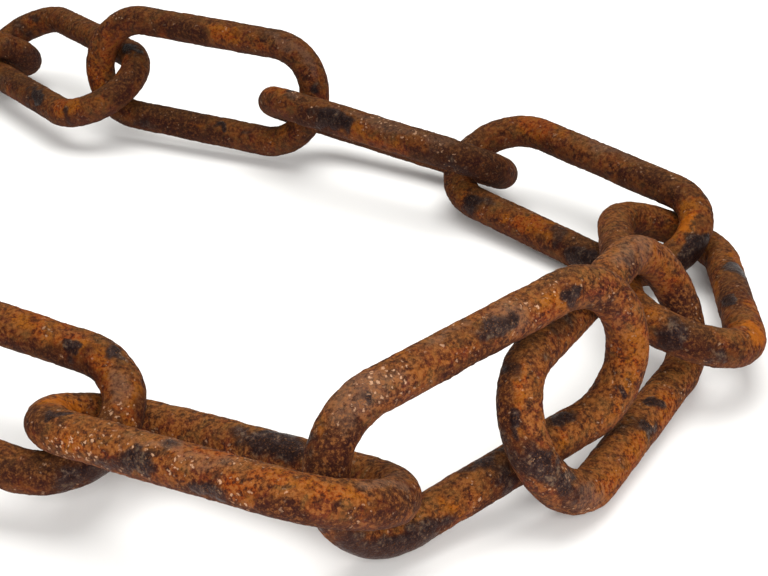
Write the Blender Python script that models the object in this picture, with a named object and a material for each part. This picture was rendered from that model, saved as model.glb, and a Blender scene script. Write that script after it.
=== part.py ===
"""Heap of iron chain: twelve long forged links, each hooked through the next, thrown down
in a zigzag on a level floor.  Metres, +Z up, floor at z = 0, front towards -Y.

Every link is the same closed loop of round bar.  The lay is a list of hand-chosen angles.
Where each link lands is worked out: it is held at its height over the floor and drawn
away from its neighbour until the two bars meet.  Where other sizes leave no room for that,
the link is eased towards lying straight, square and level with its neighbour."""

import math

import bpy
import numpy as np
from mathutils import Matrix

BAR = 0.012           # diameter of the rusted round bar
LINK_LENGTH = 0.111   # outer length of one link
LINK_WIDTH = 0.051    # outer width of one link
SEAT_GAP = 0.0004     # air left where two links bear on each other
RIDE_UP = 0.0012      # step by which a link that can't lie as low as listed is lifted
EASING_STEPS = 10     # equal steps in which it is then eased to straight, square and level
CROWN_STEPS = 14      # facets round each half-circle end
SIDE_STEPS = 20       # measuring points along each straight side
BAR_FACETS = 14       # facets round the bar

# Each link in order along the chain: heading of its long axis on the floor, tilt of that
# axis, roll of the link about it (degrees), height of its lowest point over the floor
# (in bar diameters), and the heading in which it is drawn off the link before it.
LAY = (
    ("link_01", -34, 0, 20, 0.00, 0),
    ("link_02", -12, -1, -36, 0.00, -35),
    ("link_03", -52, 1, 26, 0.60, -15),
    ("link_04", -23, -2, 74, 0.30, -12),
    ("link_05", -31, -4, -30, 0.25, -32),
    ("link_06", -46, -3, 26, 0.05, -24),
    ("link_07", -96, 6, -17, 0.15, -53),
    ("link_08", -121, -1, -59, 0.00, -143),
    ("link_09", -144, -8, -78, 0.10, 77),
    ("link_10", 151, -4, 26, 0.60, -152),
    ("link_11", 160, 8, -23, 0.80, 159),
    ("link_12", 168, 0, 75, 0.00, 165),
)
FOLD = 7              # place in the list of the link at the fold, from which the rest are laid

RUST = (0.20, 0.085, 0.04, 1.0)
DARK_RUST = (0.11, 0.055, 0.035, 1.0)


def loop_in_plane():
    """Centre line of one link in its own plane: two straight sides and two half circles."""
    reach = (LINK_LENGTH - LINK_WIDTH) / 2
    radius = (LINK_WIDTH - BAR) / 2
    side = np.linspace(-reach, reach, SIDE_STEPS, endpoint=False)
    turn = np.linspace(-math.pi / 2, math.pi / 2, CROWN_STEPS, endpoint=False)
    near_side = np.column_stack([side, np.full(SIDE_STEPS, -radius)])
    front_end = np.column_stack([reach + radius * np.cos(turn), radius * np.sin(turn)])
    return np.concatenate([near_side, front_end, -near_side, -front_end])


def link_axes(heading, tilt, roll):
    """Long axis and cross axis of a link turned by three angles in degrees."""
    head = math.radians(heading)
    rise = math.radians(tilt)
    lean = math.radians(roll)
    level = np.array([-math.sin(head), math.cos(head), 0.0])
    along = np.array([math.cos(head) * math.cos(rise), math.sin(head) * math.cos(rise), math.sin(rise)])
    across = level * math.cos(lean) + np.cross(along, level) * math.sin(lean)
    return along, across


def loop_at(centre, row):
    """Centre line, in the world, of the link of this row centred on a point."""
    along, across = link_axes(*row[1:4])
    flat = loop_in_plane()
    return centre + flat[:, :1] * along + flat[:, 1:] * across


def closest(points, loop):
    """Shortest distance from the points to a closed run of straight pieces, and its ends."""
    step = np.roll(loop, -1, axis=0) - loop
    offset = points[:, None, :] - loop[None, :, :]
    share = np.clip((offset * step).sum(axis=2) / (step * step).sum(axis=1), 0.0, 1.0)
    apart = ((offset - share[..., None] * step) ** 2).sum(axis=2)
    here, there = np.unravel_index(apart.argmin(), apart.shape)
    return math.sqrt(apart[here, there]), points[here], loop[there] + share[here, there] * step[there]


def meeting(loop, other):
    """Distance between two centre lines, and the nearest points on the first and the second."""
    from_first = closest(loop, other)
    distance, there, here = closest(other, loop)
    return min(from_first, (distance, here, there), key=lambda found: found[0])


def steepness(loop, point):
    """Rise of a centre line per unit of its length at the measuring point next to a point."""
    nearest = np.linalg.norm(loop - point, axis=1).argmin()
    run = loop[(nearest + 1) % len(loop)] - loop[nearest - 1]
    return abs(run[2]) / np.linalg.norm(run)


def hinge_point(loop, inner):
    """Point of a joint's upright axis: the centre of the steeper of the two bars that bear."""
    _, own_point, inner_point = meeting(loop, inner)
    if steepness(loop, own_point) > steepness(inner, inner_point):
        return own_point
    return inner_point


def is_clear(loop, laid):
    """Whether the bar on this centre line keeps the seat gap to every bar already laid."""
    for other in reversed(laid):
        near = np.linalg.norm(loop.mean(axis=0) - other.mean(axis=0)) < LINK_LENGTH + BAR
        if near and meeting(loop, other)[0] < BAR + SEAT_GAP:
            return False
    return True


def is_hooked(loop, held_centre, held):
    """Whether a centre line runs once through the opening of the link it hooks on."""
    along, across = link_axes(*held[1:4])
    offset = loop - held_centre
    ahead = np.roll(offset, -1, axis=0)
    height = offset @ np.cross(along, across)
    crosses = height * np.roll(height, -1) < 0
    share = height[crosses] / (height[crosses] - np.roll(height, -1)[crosses])
    hits = offset[crosses] + share[:, None] * (ahead[crosses] - offset[crosses])
    beyond = np.maximum(np.abs(hits @ along) - (LINK_LENGTH - LINK_WIDTH) / 2, 0.0)
    inside = np.hypot(beyond, hits @ across) < (LINK_WIDTH - BAR) / 2
    return inside.sum() == 1


def drawn_tight(loop, direction, laid, held_centre, held):
    """How far a hooked link can be drawn off before it meets the bars laid, or None."""
    farthest = LINK_WIDTH - BAR
    step = BAR / 8

    def is_free(distance):
        moved = loop + direction * distance
        return is_hooked(moved, held_centre, held) and is_clear(moved, laid)

    low = farthest
    while low >= 0 and not is_free(low):
        low -= step
    if low < 0:
        return None
    high = low + step
    for _ in range(8):
        middle = (low + high) / 2
        if is_free(middle):
            low = middle
        else:
            high = middle
    return low


def squared(row, held, share):
    """The row with its link turned by a share of the way to straight and square to its neighbour."""
    name, heading, tilt, roll, lift, draw = row
    bend = (held[1] - heading + 180) % 360 - 180
    twist = (held[3] + 90 - roll + 90) % 180 - 90
    return name, heading + share * bend, tilt, roll + share * twist, lift, draw


def hooked(row, end, draw, held_centre, held, laid):
    """Centre and row of a link whose front (+1) or rear (-1) end hooks on the link held there."""
    held_along, _ = link_axes(*held[1:4])
    outward = held[1] if end < 0 else held[1] + 180
    for steps, share in enumerate([0.0, *np.linspace(0.0, 1.0, EASING_STEPS + 1)]):
        turned = squared(row, held, share)
        along, _ = link_axes(*turned[1:4])
        course = math.radians(draw + share * ((outward - draw + 180) % 360 - 180))
        direction = np.array([math.cos(course), math.sin(course), 0.0])
        centre = held_centre - (held_along + along) * (LINK_LENGTH - LINK_WIDTH) / 2 * end
        listed = BAR / 2 + row[4] * BAR + steps * RIDE_UP - loop_at(centre, turned)[:, 2].min()
        centre[2] += (1 - share) * listed
        travel = drawn_tight(loop_at(centre, turned), direction, laid, held_centre, held)
        if travel is not None:
            break
    return centre + direction * travel, turned


def lay_chain():
    """Centre and row of each link, laid from the fold outwards in both directions."""
    start = np.zeros(3)
    start[2] = BAR / 2 + LAY[FOLD][4] * BAR - loop_at(start, LAY[FOLD])[:, 2].min()
    lain = {FOLD: (start, LAY[FOLD])}
    for away in range(1, len(LAY)):
        for index in (FOLD - away, FOLD + away):
            if not 0 <= index < len(LAY):
                continue
            toward = 1 if index > FOLD else -1
            inner = index - toward
            draw = LAY[index][5] if toward > 0 else LAY[inner][5] + 180
            laid = [loop_at(*link) for link in lain.values()]
            lain[index] = hooked(LAY[index], -toward, draw, *lain[inner], laid)
    return centred([lain[index] for index in range(len(LAY))])


def centred(links):
    """The same links, moved so that the heap stands on z = 0, centred over the origin."""
    bars = np.concatenate([loop_at(*link) for link in links])
    middle = (bars.min(axis=0) + bars.max(axis=0)) / 2
    middle[2] = bars[:, 2].min() - BAR / 2
    return [(centre - middle, row) for centre, row in links]


def rust_material(name, colour):
    material = bpy.data.materials.new(name)
    material.use_nodes = True
    shader = material.node_tree.nodes["Principled BSDF"]
    shader.inputs["Base Color"].default_value = colour
    shader.inputs["Roughness"].default_value = 0.85
    shader.inputs["Metallic"].default_value = 0.0
    material.diffuse_color = colour
    return material


def forge_link(name, colour, collection):
    """One closed loop of round bar, flat in its own XY plane."""
    corners = [
        point for count, point in enumerate(loop_in_plane())
        if count % (SIDE_STEPS + CROWN_STEPS) not in range(1, SIDE_STEPS)
    ]
    curve = bpy.data.curves.new(name, "CURVE")
    curve.dimensions = "3D"
    curve.bevel_depth = BAR / 2
    curve.bevel_resolution = BAR_FACETS // 2 - 2
    spline = curve.splines.new("POLY")
    spline.points.add(len(corners) - 1)
    for point, corner in zip(spline.points, corners):
        point.co = (corner[0], corner[1], 0.0, 1.0)
    spline.use_cyclic_u = True
    curve.materials.append(rust_material(name + "_rust", colour))
    link = bpy.data.objects.new(name, curve)
    collection.objects.link(link)
    return link


def world_matrix(centre, row):
    """Matrix that lays a flat link at its centre, turned by its row's angles."""
    along, across = link_axes(*row[1:4])
    matrix = Matrix(np.column_stack([along, across, np.cross(along, across)]).tolist()).to_4x4()
    matrix.translation = centre.tolist()
    return matrix


def hold(child, child_matrix, parent, parent_matrix):
    """Parent one object to another so that both keep their places in the world."""
    child.parent = parent
    child.matrix_parent_inverse = parent_matrix.inverted()
    child.matrix_basis = child_matrix


def joint_empty(name, point, collection):
    empty = bpy.data.objects.new(name, None)
    empty.empty_display_size = BAR
    collection.objects.link(empty)
    return empty, Matrix.Translation(point.tolist())


def main():
    for item in list(bpy.data.objects):
        bpy.data.objects.remove(item, do_unlink=True)
    heap = bpy.data.collections.new("iron_chain_heap")
    bpy.context.scene.collection.children.link(heap)
    chain = lay_chain()
    loops = [loop_at(*link) for link in chain]
    places = [world_matrix(*link) for link in chain]
    links = [forge_link(row[0], (RUST, DARK_RUST)[number % 2], heap) for number, row in enumerate(LAY)]
    links[FOLD].matrix_basis = places[FOLD]
    for index in range(len(LAY)):
        if index == FOLD:
            continue
        inner = index - 1 if index > FOLD else index + 1
        joint = "hinge_" + LAY[index][0]
        pivot, pivot_place = joint_empty(joint, hinge_point(loops[index], loops[inner]), heap)
        hold(pivot, pivot_place, links[inner], places[inner])
        hold(links[index], places[index], pivot, pivot_place)


main()
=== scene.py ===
"""Looks of the heap of iron chain: each of the twelve links gets a forged, pitted and scaled
skin of its own round bar, and a rust finish.  Metres, +Z up, floor at z = 0."""

import math

import bpy
import numpy as np
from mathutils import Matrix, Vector


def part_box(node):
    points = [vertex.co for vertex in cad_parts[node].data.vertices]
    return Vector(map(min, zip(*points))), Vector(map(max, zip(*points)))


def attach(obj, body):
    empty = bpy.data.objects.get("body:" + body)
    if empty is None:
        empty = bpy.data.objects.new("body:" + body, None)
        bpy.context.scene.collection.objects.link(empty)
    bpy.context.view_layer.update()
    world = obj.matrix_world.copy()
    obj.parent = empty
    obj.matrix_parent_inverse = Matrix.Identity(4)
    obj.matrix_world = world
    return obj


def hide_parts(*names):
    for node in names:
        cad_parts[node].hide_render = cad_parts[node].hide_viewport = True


BAR = 0.012             # diameter of the rusted round bar
LINK_LENGTH = 0.111     # outer length of one link
LINK_WIDTH = 0.051      # outer width of one link
RINGS = 480             # rings of the skin along the bar, once round the link
RING_POINTS = 80        # points in each ring

LINKS = tuple("link_%02d" % number for number in range(1, 13))

# Marks picked in the photograph, link by link, as (millimetres along the bar, degrees round it
# from the link's outer side towards its upper face, half length in millimetres, half breadth in
# degrees). A scratch program that knew the fitted camera turned boxes drawn on the photograph
# into such places, which were then rounded or moved by hand.
DARK_SCALE_AND_CONTACT_SHADE = {
    "link_03": ((48, 70, 6, 44), (112, 80, 5, 40)),
    "link_04": ((42, 120, 4, 24), (97, 60, 3, 34)),
    "link_05": ((20, 355, 8, 50), (70, 320, 5, 30)),
    "link_06": ((90, 25, 6, 44), (54, 40, 6, 44), (2, 60, 4, 34)),
    "link_07": ((84, 18, 5, 40), (97, 355, 6, 44), (163, 84, 6, 34), (137, 134, 5, 26)),
    "link_08": ((88, 345, 7, 48), (90, 12, 8, 50), (92, 42, 6, 40), (97, 72, 6, 46),
                (156, 129, 2, 17), (147, 79, 4, 26), (81, 20, 3, 18)),
    "link_09": ((22, 60, 4, 30), (242, 92, 3, 20), (65, 63, 2, 16), (196, 107, 2, 22), (171, 165, 4, 26),
                # The last mark on link_09, at 150 millimetres where it bears on link_08, is painted
                # contact shade.
                (102, 55, 9, 60), (112, 55, 9, 60), (122, 80, 8, 54), (150, 100, 5, 60)),
    "link_10": ((141, 350, 6, 46), (165, 342, 6, 34), (143, 39, 2, 16), (118, 54, 1.4, 11),
                (22, 135, 13, 50)),
    "link_11": ((234, 74, 3, 24), (2, 137, 2, 18), (197, 10, 9, 56)),
}
ORANGE_BLOOM = {
    "link_03": ((101, 115, 8, 60), (72, 60, 9, 50)),
    "link_04": ((207, 150, 13, 66), (140, 90, 9, 50)),
    "link_05": ((38, 305, 12, 42), (235, 60, 6, 50)),
    "link_06": ((101, 127, 9, 60), (180, 90, 10, 60), (28, 80, 9, 50)),
    "link_07": ((113, 60, 14, 95), (172, 60, 12, 60), (134, 94, 9, 40)),
    "link_08": ((76, 28, 3, 20), (85, 15, 3, 18), (158, 69, 8, 46), (70, 50, 3, 22),
                (135, 60, 10, 60), (117, 60, 7, 60), (227, 142, 11, 50)),
    "link_09": ((7, 86, 5, 56), (76, 356, 3, 34), (222, 165, 5, 34), (130, 104, 4, 30),
                (205, 90, 9, 46)),
    "link_10": ((98, 150, 18, 66), (108, 70, 8, 40), (126, 340, 4, 44), (174, 0, 4, 26),
                (193, 45, 10, 32), (160, 70, 10, 30)),
    "link_11": ((17, 65, 8, 50), (238, 140, 12, 60), (217, 37, 6, 60), (194, 35, 3, 20),
                (226, 160, 8, 40)),
}
VIVID_OCHRE = {
    "link_06": ((96, 106, 8, 40),),
    "link_07": ((113, 60, 7, 50),),
    "link_10": ((103, 120, 15, 56),),
}
# Maroon stains; the two on link_09 at 148 and 151 millimetres, where it bears on link_08, are painted
# contact shade.
MAROON_STAIN_AND_CONTACT_SHADE = {
    "link_02": ((85, 310, 12, 70),),
    "link_03": ((100, 60, 8, 50), (30, 90, 12, 60)),
    "link_04": ((20, 90, 20, 70), (165, 110, 16, 60)),
    "link_05": ((10, 300, 12, 50), (75, 320, 16, 70)),
    "link_06": ((53, 58, 12, 66), (125, 120, 14, 50), (215, 100, 9, 60)),
    "link_07": ((91, 45, 8, 60), (150, 60, 10, 60), (140, 130, 20, 50)),
    "link_08": ((73, 335, 16, 46), (205, 150, 10, 70), (104, 45, 5, 50), (4, 90, 6, 60)),
    "link_09": ((227, 122, 5, 34), (78, 62, 8, 56), (148, 60, 8, 70), (151, 120, 9, 70),
                (30, 150, 12, 40)),
    "link_10": ((185, 305, 30, 40), (112, 30, 7, 40), (206, 10, 9, 50)),
    "link_11": ((205, 330, 18, 60), (245, 170, 16, 40), (190, 60, 8, 50)),
}
PALE_ASH = {
    "link_03": ((15, 50, 12, 40),),
    "link_04": ((110, 60, 14, 30),),
    "link_05": ((40, 45, 30, 30), (242, 50, 5, 36)),
    "link_06": ((150, 60, 20, 30),),
    "link_08": ((236, 80, 9, 44), (6, 60, 8, 40), (111, 75, 7, 34)),
    "link_09": ((62, 45, 12, 66), (36, 20, 12, 30), (22, 60, 8, 52)),
    "link_10": ((152, 55, 18, 26), (205, 70, 8, 30)),
    "link_11": ((222, 80, 6, 50),),
}
# Pale flecks, partly painted glints.
PALE_FLECKS_AND_GLINTS = {
    "link_05": ((242, 50, 4, 34), (38, 33, 9, 34), (57, 38, 6, 34)),
    "link_08": ((92, 60, 5, 36), (112, 20, 6, 36)),
    "link_09": ((60, 35, 10, 44), (10, 60, 12, 50)),
    "link_10": ((127, 320, 15, 44), (173, 355, 6, 44), (150, 20, 18, 46)),
    "link_11": ((214, 60, 7, 60),),
}

# Measures of the rust that marks raise: the size of its noise in metres, the first of its
# seeds, the noise's height, the level where it begins, the level where it is full, its marks.
COATS = {
    "plate_and_contact_shade": (0.011, 5, 0.62, 0.34, 0.95, DARK_SCALE_AND_CONTACT_SHADE),
    "bloom": (0.009, 10, 0.70, 0.10, 1.00, ORANGE_BLOOM),
    "vivid": (0.008, 50, 0.40, 0.20, 1.10, VIVID_OCHRE),
    "stain_and_contact_shade": (0.012, 30, 0.66, 0.10, 1.00, MAROON_STAIN_AND_CONTACT_SHADE),
    "ash": (0.012, 38, 0.55, 0.20, 1.10, PALE_ASH),
    "fleck_and_glint": (0.010, 34, 0.70, 0.35, 1.00, PALE_FLECKS_AND_GLINTS),
}
MARK_HEIGHT = 1.15      # what a mark adds at its middle, where the noise counts half
WARP = 0.0014           # how far the places of coats and pock marks waver, in metres
STRAY_ALONG = 0.0030    # how far a mark's edge strays along the bar, in metres
STRAY_ROUND = 0.38      # and how far round it, in radians

# Relief of the skin, in metres.
GROUND = 0.00010        # depth of the plain skin below the round bar
SWELL = 0.00008         # slow swell
LUMPS = 0.00013         # lumps
GRAIN = 0.00010         # fine grain, on a plate four tenths of it
POCKS = 0.00030         # depth of the deepest pock mark
PLATE = 0.00010         # thickness of a scale plate
PROUD = 0.00008         # the farthest that the skin stands over the round bar
DEEPEST = 0.0006        # and the farthest that it lies under it

# Paleness of the rust's colour on each link, from the first to the twelfth: partly each link's
# own tone, partly painted shade that darkens the far links where the light falls off.
TONE_AND_FAR_SHADE = (0.66, 0.62, 0.58, 0.58, 0.56, 0.64, 0.80, 1.02, 1.00, 0.99, 0.80, 0.84)
EVENED = 0.4            # power of that paleness in bright colours, which vary less
DULL_SHARE = 0.94       # part of a dull colour, as it is written, that the rust shows
BRIGHT_SHARE = 0.77     # the same for orange and ochre
FLECK_AND_GLINT_SHARE = 0.95      # the same for the pale flecks and painted glints

# The camera, as it was fitted to points on the outlines in the photograph.
PHOTO_WIDTH = 768       # pixels across the photograph's frame
FOCAL_PIXELS = 1432.22  # camera's focal length in those pixels
SENSOR = 36.0           # width of the camera's sensor in millimetres
EYE = (0.1015, -0.4806, 0.2326)
LOOKING_DOWN = 28.364   # degrees below the horizon, looking along +Y
AIM = (0.05, -0.05, 0.02)  # middle of the heap as the lamps are aimed
FLOOR_SIZE = 30.0       # side of the pale sheet in metres


def cell_value(cell, seed):
    """Steady value from 0 to 1 for each whole-numbered cell of space.

    The cell's three numbers and the seed are each multiplied by a large odd number and
    added, and the bits of the sum are shifted and multiplied once more."""
    whole = cell.astype(np.int64).astype(np.uint32)
    mixed = whole[..., 0] * np.uint32(374761393) + whole[..., 1] * np.uint32(668265263)
    mixed = mixed + whole[..., 2] * np.uint32(2246822519) + np.uint32(seed * 97531 + 12345)
    mixed = (mixed ^ (mixed >> np.uint32(13))) * np.uint32(1274126177)
    mixed = (mixed ^ (mixed >> np.uint32(15))) * np.uint32(2246822519)
    return ((mixed ^ (mixed >> np.uint32(16))) & np.uint32(0xFFFFFF)) / float(0xFFFFFF)


def smooth_noise(points, size, seed):
    """Soft noise from -1 to 1 whose humps are about one size across.

    Space is cut into cubes of that size.  Each corner has a steady value, and a point takes
    the mean of its cube's eight corners, weighted by an S-shaped share along each edge."""
    place = points / size
    corner = np.floor(place)
    share = place - corner
    share = share * share * (3 - 2 * share)
    total = np.zeros(points.shape[:-1])
    for step in np.ndindex(2, 2, 2):
        step = np.array(step)
        weight = np.where(step == 1, share, 1 - share).prod(axis=-1)
        total += weight * cell_value(corner + step, seed)
    return total * 2 - 1


def rough_noise(points, size, seed, layers):
    """Sum of soft noises, each layer half the size and a bit over half the height of the last."""
    total = np.zeros(points.shape[:-1])
    height = 1.0
    for layer in range(layers):
        total += height * smooth_noise(points, size, seed + layer)
        size *= 0.5
        height *= 0.55
    return total


def pock_marks(points, size, seed):
    """Round hollows strewn over a surface: 0 between them, up to 1 at the middle of a deep one.

    Each cube of space holds one mark at a steady place, with a steady breadth and depth.  A
    point takes the deepest of the marks of its own and the 26 neighbouring cubes, and a
    mark's floor is one minus the square of the distance in breadths."""
    place = points / size
    corner = np.floor(place)
    deepest = np.zeros(points.shape[:-1])
    for step in np.ndindex(3, 3, 3):
        cell = corner + np.array(step) - 1
        middle = cell + np.stack([cell_value(cell, seed + axis) for axis in range(3)], axis=-1)
        breadth = 0.25 + 0.45 * cell_value(cell, seed + 3)
        depth = cell_value(cell, seed + 4)
        away = ((place - middle) ** 2).sum(axis=-1) / breadth ** 2
        deepest = np.maximum(deepest, depth * np.clip(1 - away, 0, 1))
    return deepest


def ease(low, high, values):
    """0 below low, 1 above high, and an S-shaped rise between them."""
    share = np.clip((values - low) / (high - low), 0, 1)
    return share * share * (3 - 2 * share)


def bar_path(rings):
    """Arc length, centre line and outward direction in a link's own plane, at each ring.

    Equal steps of arc length along a straight side, the half circle at the front end, the
    other side and the half circle at the rear end."""
    reach = (LINK_LENGTH - LINK_WIDTH) / 2
    radius = (LINK_WIDTH - BAR) / 2
    side = 2 * reach
    crown = math.pi * radius
    along = np.arange(rings) * (2 * side + 2 * crown) / rings
    half = side + crown
    second = along >= half
    run = np.where(second, along - half, along)
    turn = np.clip((run - side) / radius, 0, None) - math.pi / 2
    straight = run < side
    x = np.where(straight, run - reach, reach + radius * np.cos(turn))
    y = np.where(straight, -radius, radius * np.sin(turn))
    out_x = np.where(straight, 0.0, np.cos(turn))
    out_y = np.where(straight, -1.0, np.sin(turn))
    flip = np.where(second, -1.0, 1.0)
    centre = np.stack([x * flip, y * flip], axis=-1)
    outward = np.stack([out_x * flip, out_y * flip], axis=-1)
    return along, centre, outward


def lie_of(node, next_node):
    """Centre and three axes of a link, read off its solid.

    The centre is the mean of the corners.  The axes are the principal directions of the
    corners: longest along the link, next across it, shortest square to its plane, which is
    taken upwards.  The long one points to the next link."""
    corners = corners_of(node)
    centre = corners.mean(axis=0)
    _, directions = np.linalg.eigh(np.cov((corners - centre).T))
    along = directions[:, 2]
    square = directions[:, 0]
    if (corners_of(next_node).mean(axis=0) - centre) @ along < 0:
        along = -along
    if square[2] < 0:
        square = -square
    return centre, np.stack([along, np.cross(square, along), square])


def corners_of(node):
    """Every vertex of a mesh object, as rows of x, y and z."""
    flat = np.empty(len(node.data.vertices) * 3, dtype=np.float32)
    node.data.vertices.foreach_get("co", flat)
    return flat.reshape(-1, 3).astype(float)


def marks(spots, along, round_bar):
    """Soft-edged oval marks on the bar, as a height from 0 to 1.

    A mark's height falls off as a bell curve of the distance from its middle, counted in its
    half length along the bar and its half breadth round it.  Where marks overlap the higher
    one counts."""
    height = np.zeros(along.shape)
    length = 2 * (LINK_LENGTH - LINK_WIDTH) + math.pi * (LINK_WIDTH - BAR)
    for at, angle, half_length, half_breadth in spots:
        apart = (along - at / 1000 + length / 2) % length - length / 2
        aside = (np.degrees(round_bar) - angle + 180) % 360 - 180
        far = (apart / (half_length / 1000)) ** 2 + (aside / half_breadth) ** 2
        height = np.maximum(height, np.exp(-0.8 * far))
    return height


def forged_skin(number, rings, ring_points):
    """Points of one link's skin in the link's own axes, and the measures of its surface.

    A ring is a circle about the centre line.  Its radius is the bar's, less a slow swell, a
    lumpy noise, round pock marks and a fine grain, plus the thickness of the scale plates.
    Plates, blooms, vivid ochre, stains, ash and flecks are where a rough noise, raised by the
    link's own marks, stands above a level; the stains and one plate hold painted contact shade,
    and the flecks painted glints.  The pitting is weaker on a plate, and blooms, ochre and
    stains give way to it."""
    name = LINKS[number]
    seed = 40 * number
    along, centre, outward = bar_path(rings)
    angle = np.arange(ring_points) * 2 * math.pi / ring_points
    along, angle = np.meshgrid(along, angle, indexing="ij")
    sideways = outward[:, None, :] * np.cos(angle)[..., None]
    spoke = np.concatenate([sideways, np.sin(angle)[..., None]], axis=2)
    middle = np.concatenate([centre, np.zeros((rings, 1))], axis=1)[:, None, :]
    flush = middle + spoke * BAR / 2
    waver = [smooth_noise(flush, size=0.004, seed=seed + axis) for axis in range(3)]
    warped = flush + WARP * np.stack(waver, axis=-1)
    shifted = along + STRAY_ALONG * rough_noise(flush, size=0.006, seed=seed + 42, layers=4)
    turned = angle + STRAY_ROUND * rough_noise(flush, size=0.006, seed=seed + 45, layers=4)

    measures = {}
    for label, (size, first_seed, share, begins, full, table) in COATS.items():
        laid = marks(table.get(name, ()), shifted, turned)
        noise = share * rough_noise(warped, size, seed + first_seed, layers=4)
        measures[label] = ease(begins, full, noise * (1 - 0.5 * laid) + MARK_HEIGHT * laid)
    plate_and_contact_shade = measures["plate_and_contact_shade"]
    for label in ("bloom", "vivid", "stain_and_contact_shade"):
        measures[label] = measures[label] * (1 - plate_and_contact_shade)

    swell = smooth_noise(flush, size=0.022, seed=seed + 15)
    lumps = rough_noise(flush, size=0.0050, seed=seed + 16, layers=3)
    pocks = pock_marks(warped, size=0.0032, seed=seed + 20) * (1 - 0.8 * plate_and_contact_shade)
    grain = rough_noise(flush, size=0.0013, seed=seed + 26, layers=2)
    depth = GROUND - SWELL * swell - LUMPS * lumps - GRAIN * grain * (1 - 0.6 * plate_and_contact_shade)
    depth = depth + POCKS * pocks - PLATE * plate_and_contact_shade
    radius = BAR / 2 - np.clip(depth, -PROUD, DEEPEST)
    measures["hollow"] = ease(0.15, 0.75, pocks + 0.35 * np.clip(-lumps, 0, 1))
    return middle + spoke * radius[..., None], measures


def closed_skin(name, points, measures):
    """Mesh object of a grid of points that closes on itself both ways, with named measures."""
    rings, ring_points = points.shape[:2]
    index = np.arange(rings * ring_points).reshape(rings, ring_points)
    ahead = np.roll(index, -1, axis=0)
    faces = np.stack([index, ahead, np.roll(ahead, -1, axis=1), np.roll(index, -1, axis=1)], axis=-1)
    faces = faces.reshape(-1, 4)
    mesh = bpy.data.meshes.new(name)
    mesh.vertices.add(index.size)
    mesh.vertices.foreach_set("co", points.astype(np.float32).ravel())
    mesh.loops.add(faces.size)
    mesh.loops.foreach_set("vertex_index", faces.astype(np.int32).ravel())
    mesh.polygons.add(len(faces))
    mesh.polygons.foreach_set("loop_start", np.arange(0, faces.size, 4, dtype=np.int32))
    mesh.update(calc_edges=True)
    mesh.shade_smooth()
    for label, values in measures.items():
        attribute = mesh.attributes.new(label, "FLOAT", "POINT")
        attribute.data.foreach_set("value", values.astype(np.float32).ravel())
    piece = bpy.data.objects.new(name, mesh)
    bpy.context.scene.collection.objects.link(piece)
    return piece


def forge_link(number, nodes):
    """Makes one link's finished skin, laid where its solid lies, and riding on its body.

    The skin is kept inside the box of its solid.  The measure skyward is how far a point
    stands above the middle of its ring, in half bars."""
    name = LINKS[number]
    neighbour = LINKS[number + 1] if number + 1 < len(LINKS) else LINKS[number - 1]
    centre, axes = lie_of(nodes[name], nodes[neighbour])
    local, measures = forged_skin(number, RINGS, RING_POINTS)
    low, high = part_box(name)
    points = np.clip(centre + local @ axes, np.array(low), np.array(high))
    measures["skyward"] = ((local - local.mean(axis=1, keepdims=True)) @ axes)[..., 2] / (BAR / 2)
    piece = closed_skin(name + "_forged", points, measures)
    piece.data.materials.append(rusted_iron(name, number))
    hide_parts(name)
    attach(piece, name)


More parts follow.
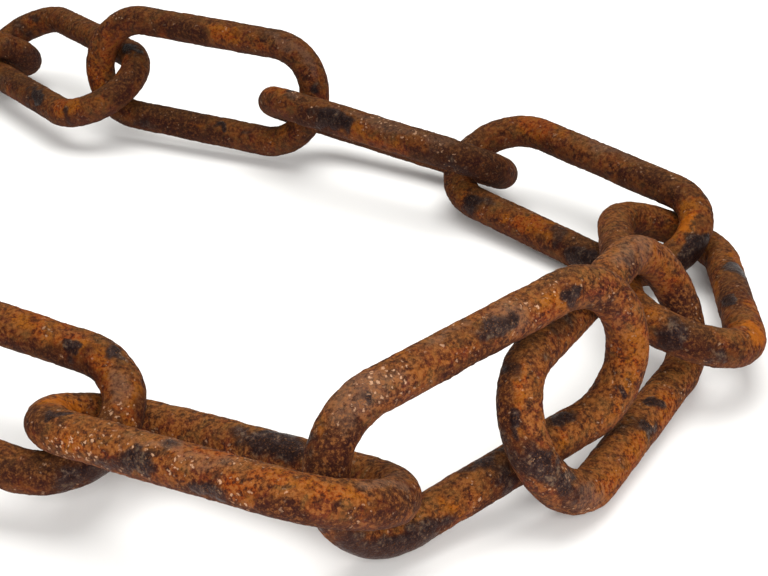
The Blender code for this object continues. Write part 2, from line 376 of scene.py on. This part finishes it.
class Finish:
    """Short ways to add and join the nodes of one material."""

    def __init__(self, name):
        self.material = bpy.data.materials.new(name)
        self.material.use_nodes = True
        self.tree = self.material.node_tree
        self.shader = self.tree.nodes["Principled BSDF"]

    def node(self, kind, **settings):
        made = self.tree.nodes.new(kind)
        for key, value in settings.items():
            setattr(made, key, value)
        return made

    def join(self, source, target):
        self.tree.links.new(source, target)

    def measure(self, name):
        """A value stored on the skin's points."""
        return self.node("ShaderNodeAttribute", attribute_name=name).outputs["Fac"]

    def noise(self, place, size, detail, roughness, distortion=0.0):
        """Noise whose humps are about one size across, from 0 to 1."""
        made = self.node("ShaderNodeTexNoise")
        made.inputs["Scale"].default_value = 1 / size
        made.inputs["Detail"].default_value = detail
        made.inputs["Roughness"].default_value = roughness
        made.inputs["Distortion"].default_value = distortion
        self.join(place, made.inputs["Vector"])
        return made.outputs["Fac"]

    def grains(self, place, size):
        """Distance to the nearest grain's middle, in sizes: each cube of that size holds one."""
        made = self.node("ShaderNodeTexVoronoi")
        made.inputs["Scale"].default_value = 1 / size
        self.join(place, made.inputs["Vector"])
        return made.outputs["Distance"]

    def strayed(self, place, size, stray):
        """The place moved by up to half of stray each way, by a noise of that size."""
        noise = self.node("ShaderNodeTexNoise")
        noise.inputs["Scale"].default_value = 1 / size
        self.join(place, noise.inputs["Vector"])
        made = self.node("ShaderNodeVectorMath", operation="MULTIPLY_ADD")
        self.join(noise.outputs["Color"], made.inputs[0])
        made.inputs[1].default_value = (stray, stray, stray)
        self.join(place, made.inputs[2])
        return made.outputs["Vector"]

    def step(self, value, low, high):
        """0 below low, 1 above high, smooth between.  With low over high it falls instead."""
        made = self.node("ShaderNodeMapRange", interpolation_type="SMOOTHSTEP")
        made.inputs["From Min"].default_value = low
        made.inputs["From Max"].default_value = high
        self.join(value, made.inputs["Value"])
        return made.outputs["Result"]

    def maths(self, kind, first, second):
        made = self.node("ShaderNodeMath", operation=kind)
        for socket, value in zip(made.inputs, (first, second)):
            if isinstance(value, (int, float)):
                socket.default_value = value
            else:
                self.join(value, socket)
        return made.outputs["Value"]

    def times(self, first, second):
        return self.maths("MULTIPLY", first, second)

    def plus(self, first, second):
        return self.maths("ADD", first, second)

    def minus(self, first, second):
        return self.maths("SUBTRACT", first, second)

    def blend(self, first, first_weight, second, second_weight):
        """Sum of two values, each times its weight."""
        return self.plus(self.times(first, first_weight), self.times(second, second_weight))

    def ramp(self, value, stops):
        """Colours met in order as the value rises."""
        made = self.node("ShaderNodeValToRGB")
        line = made.color_ramp
        while len(line.elements) < len(stops):
            line.elements.new(0.5)
        for element, (position, colour) in zip(line.elements, stops):
            element.position = position
            element.color = (*colour, 1.0)
        self.join(value, made.inputs["Fac"])
        return made.outputs["Color"]

    def mix(self, share, first, second):
        """Second colour laid over the first by a share."""
        made = self.node("ShaderNodeMix", data_type="RGBA")
        if isinstance(share, (int, float)):
            made.inputs["Factor"].default_value = share
        else:
            self.join(share, made.inputs["Factor"])
        for socket, colour in ((made.inputs["A"], first), (made.inputs["B"], second)):
            if isinstance(colour, tuple):
                socket.default_value = (*colour, 1.0)
            else:
                self.join(colour, socket)
        return made.outputs["Result"]

    def coat(self, share, strength, first, second):
        """Second colour laid over the first by a share times a strength."""
        return self.mix(self.times(share, strength), first, second)


def srgb(red, green, blue):
    """Linear colour of an 8-bit screen colour."""
    return tuple(
        part / 12.92 if part <= 0.04045 else ((part + 0.055) / 1.055) ** 2.4
        for part in (red / 255, green / 255, blue / 255)
    )


def rusted_iron(name, number):
    """Brown rust with orange blooms, maroon stains and hollows, dark scale and pale flecks, with
    painted shade on the undersides, on the far links and where links meet, painted top light and
    painted glints.

    The colours are laid over each other from the broad ones to the fine.  A light coat lies
    where a noise is high and a dark one where the same noise is low."""
    finish = Finish(name + "_rust")
    coordinates = finish.node("ShaderNodeTexCoord")
    shift = finish.node("ShaderNodeMapping")
    shift.inputs["Location"].default_value = (0.31 * number, 0.17 * number, 0.0)
    finish.join(coordinates.outputs["Object"], shift.inputs["Vector"])
    place = shift.outputs["Vector"]

    patches = finish.noise(place, size=0.0060, detail=5, roughness=0.72, distortion=0.4)
    tint = finish.noise(place, size=0.0045, detail=4, roughness=0.62, distortion=0.6)
    mottle = finish.noise(place, size=0.0024, detail=3, roughness=0.60)
    speckle = finish.noise(place, size=0.0012, detail=4, roughness=0.68)
    grit = finish.noise(place, size=0.00055, detail=3, roughness=0.78)

    def tone(red, green, blue):
        """Dull colour at this link's paleness, painted far shade included."""
        return tuple(part * DULL_SHARE * TONE_AND_FAR_SHADE[number] for part in srgb(red, green, blue))

    def bright(red, green, blue, share=BRIGHT_SHARE):
        """Bright colour at this link's paleness, painted far shade included, evened."""
        return tuple(part * share * TONE_AND_FAR_SHADE[number] ** EVENED for part in srgb(red, green, blue))

    def cover(measure, spread, low, high):
        """Share of a coat: its measure plus spread times the speckle, stepped from low to high."""
        broken = finish.plus(finish.measure(measure), finish.times(speckle, spread))
        return finish.step(broken, low, high)

    rust = finish.ramp(patches, [
        (0.34, tone(50, 21, 13)),
        (0.44, tone(78, 36, 16)),
        (0.53, tone(112, 57, 19)),
        (0.61, tone(102, 58, 25)),
        (0.69, tone(82, 52, 27)),
    ])
    rust = finish.coat(finish.step(tint, 0.48, 0.37), 0.72, rust, tone(94, 36, 21))
    rust = finish.coat(finish.step(tint, 0.52, 0.63), 0.70, rust, tone(100, 68, 34))
    orange = finish.ramp(speckle, [
        (0.36, bright(106, 40, 7)),
        (0.50, bright(142, 61, 10)),
        (0.64, bright(164, 84, 21)),
    ])
    ochre = finish.ramp(speckle, [
        (0.36, bright(106, 51, 6)),
        (0.50, bright(148, 82, 9)),
        (0.64, bright(166, 97, 17)),
    ])
    orange = finish.mix(finish.step(patches, 0.44, 0.58), orange, ochre)
    rust = finish.coat(cover("bloom", 1.4, 0.85, 1.60), 0.85, rust, orange)

    # Fine spots stand out less on a darker link, so they also fade with the painted far shade.
    crisp = 0.20 + 0.80 * TONE_AND_FAR_SHADE[number]
    ragged = finish.blend(mottle, 0.60, speckle, 0.40)
    rust = finish.coat(finish.step(ragged, 0.51, 0.60), 0.68 * crisp, rust, tone(138, 79, 33))
    deep = finish.minus(0.84 * crisp, finish.times(finish.measure("bloom"), 0.36))
    deep = finish.minus(deep, finish.times(finish.step(patches, 0.44, 0.62), 0.40))
    rust = finish.coat(finish.step(ragged, 0.485, 0.40), deep, rust, tone(42, 18, 13))
    # Maroon stains and painted contact shade where links meet.
    rust = finish.coat(cover("stain_and_contact_shade", 1.3, 0.80, 1.50), 0.80, rust, tone(46, 19, 15))
    rust = finish.coat(cover("plate_and_contact_shade", 0.8, 0.42, 0.95), 0.70, rust, tone(42, 19, 16))
    rust = finish.coat(finish.measure("hollow"), 0.50, rust, tone(42, 19, 13))

    skyward = finish.measure("skyward")
    # Dust and painted top light: a paler olive brown laid over the upper faces of the bar, less on
    # blooms.
    dust_and_top_light = finish.step(finish.plus(skyward, finish.times(speckle, 1.8)), 1.10, 2.30)
    dust_and_top_light = finish.times(dust_and_top_light, finish.minus(0.46, finish.times(finish.measure("bloom"), 0.30)))
    rust = finish.mix(dust_and_top_light, rust, tone(112, 76, 38))
    rust = finish.coat(cover("ash", 2.2, 1.20, 2.40), 0.52, rust, tone(106, 82, 68))
    rust = finish.coat(finish.step(speckle, 0.51, 0.64), 0.44 * crisp, rust, tone(148, 90, 44))
    rust = finish.coat(finish.step(speckle, 0.48, 0.36), 0.40 * crisp, rust, tone(34, 15, 12))
    rust = finish.coat(cover("vivid", 1.2, 0.95, 1.50), 0.50, rust, bright(196, 106, 6))

    shade = finish.blend(mottle, 0.40, tint, 0.60)
    scale = finish.ramp(finish.blend(shade, 0.65, speckle, 0.35), [
        (0.40, tone(14, 9, 12)),
        (0.49, tone(27, 20, 23)),
        (0.55, tone(50, 39, 38)),
        (0.62, tone(94, 77, 62)),
    ])
    # Dark scale plates, with one mark of painted contact shade.
    plate_and_contact_shade = cover("plate_and_contact_shade", 1.7, 1.05, 1.95)
    rust = finish.coat(plate_and_contact_shade, 0.92, rust, scale)
    # Painted underside shade: a greyer, purplish brown laid over the lower faces of the bar, less over
    # maroon stains and painted contact shade.
    painted_underside_shade = finish.step(skyward, 0.50, -0.70)
    underside_shade_share = finish.minus(0.38, finish.times(finish.measure("stain_and_contact_shade"), 0.28))
    rust = finish.coat(painted_underside_shade, underside_shade_share, rust, tone(98, 64, 54))
    rust = finish.coat(finish.step(grit, 0.55, 0.70), 0.28 * crisp, rust, tone(178, 114, 62))
    rust = finish.coat(finish.step(grit, 0.47, 0.32), 0.34 * crisp, rust, tone(28, 12, 10))

    # Pale flecks and painted glints: the middles of strayed grains, where a broader noise or a mark
    # gathers them.
    strayed = finish.strayed(place, size=0.0016, stray=0.0022)
    grains = finish.plus(finish.grains(strayed, size=0.0016), finish.times(speckle, 1.4))
    gathered = finish.noise(place, size=0.0040, detail=2, roughness=0.5)
    spread = finish.plus(gathered, finish.times(finish.measure("fleck_and_glint"), 0.24))
    fleck_and_glint_mask = finish.times(finish.step(grains, 1.00, 0.82), finish.step(spread, 0.53, 0.68))
    fleck_and_glint_share = finish.plus(0.50 * crisp, finish.times(finish.measure("fleck_and_glint"), 0.22))
    fleck_and_glint_share = finish.minus(fleck_and_glint_share, finish.times(plate_and_contact_shade, 0.28))
    rust = finish.coat(fleck_and_glint_mask, fleck_and_glint_share, rust, bright(198, 154, 120, share=FLECK_AND_GLINT_SHARE))
    finish.join(rust, finish.shader.inputs["Base Color"])

    # Scale is smoother and a little metallic.
    rough = finish.ramp(plate_and_contact_shade, [(0.0, (0.80,) * 3), (1.0, (0.32,) * 3)])
    rough = finish.coat(finish.step(speckle, 0.35, 0.7), 0.25, rough, (0.5,) * 3)
    finish.join(rough, finish.shader.inputs["Roughness"])
    finish.join(finish.times(plate_and_contact_shade, 0.45), finish.shader.inputs["Metallic"])
    finish.shader.inputs["Specular IOR Level"].default_value = 0.06

    # Bump, its heights in metres.
    height = finish.blend(speckle, 0.00036, grit, 0.00018)
    height = finish.plus(height, finish.times(plate_and_contact_shade, 0.00006))
    bump = finish.node("ShaderNodeBump")
    bump.inputs["Strength"].default_value = 0.9
    bump.inputs["Distance"].default_value = 1.0
    finish.join(height, bump.inputs["Height"])
    finish.join(bump.outputs["Normal"], finish.shader.inputs["Normal"])
    return finish.material


def pale_floor():
    """Plain pale sheet that the heap lies on."""
    bpy.ops.mesh.primitive_plane_add(size=FLOOR_SIZE)
    floor = bpy.context.object
    floor.name = "floor"
    material = bpy.data.materials.new("pale_floor")
    material.use_nodes = True
    shader = material.node_tree.nodes["Principled BSDF"]
    shader.inputs["Base Color"].default_value = (0.86, 0.86, 0.85, 1.0)
    shader.inputs["Roughness"].default_value = 0.9
    floor.data.materials.append(material)


def soft_box(name, place, size, power, colour):
    """Square lamp of a studio, aimed at the middle of the heap."""
    data = bpy.data.lights.new(name, "AREA")
    data.color = colour
    data.size = size
    data.energy = power
    lamp = bpy.data.objects.new(name, data)
    lamp.location = place
    lamp.rotation_euler = (Vector(AIM) - Vector(place)).to_track_quat("-Z", "Y").to_euler()
    bpy.context.scene.collection.objects.link(lamp)


def studio():
    """Soft light from above and all round, and the camera where the photograph was taken."""
    scene = bpy.context.scene
    scene.view_settings.view_transform = "Standard"
    world = bpy.data.worlds.new("studio")
    world.use_nodes = True
    sky = world.node_tree.nodes["Background"]
    sky.inputs["Color"].default_value = (1.0, 0.99, 0.97, 1.0)
    sky.inputs["Strength"].default_value = 0.58
    scene.world = world
    soft_box("overhead", (0.08, 0.10, 0.85), 0.8, 8.0, (1.0, 0.99, 0.97))
    soft_box("front", (0.25, -0.95, 0.45), 0.6, 8.0, (1.0, 0.99, 0.98))
    data = bpy.data.cameras.new("camera")
    data.sensor_width = SENSOR
    data.lens = FOCAL_PIXELS / PHOTO_WIDTH * SENSOR
    data.clip_start = 0.01
    camera = bpy.data.objects.new("camera", data)
    camera.location = EYE
    camera.rotation_euler = (math.radians(90 - LOOKING_DOWN), 0.0, 0.0)
    scene.collection.objects.link(camera)
    scene.camera = camera


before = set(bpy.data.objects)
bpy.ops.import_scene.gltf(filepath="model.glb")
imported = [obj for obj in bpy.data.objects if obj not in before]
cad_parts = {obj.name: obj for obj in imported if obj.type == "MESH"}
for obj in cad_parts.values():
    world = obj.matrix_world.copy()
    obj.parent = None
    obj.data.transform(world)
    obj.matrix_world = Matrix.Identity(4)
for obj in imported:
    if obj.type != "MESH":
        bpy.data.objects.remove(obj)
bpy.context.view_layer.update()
pale_floor()
studio()
for number in range(len(LINKS)):
    forge_link(number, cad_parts)
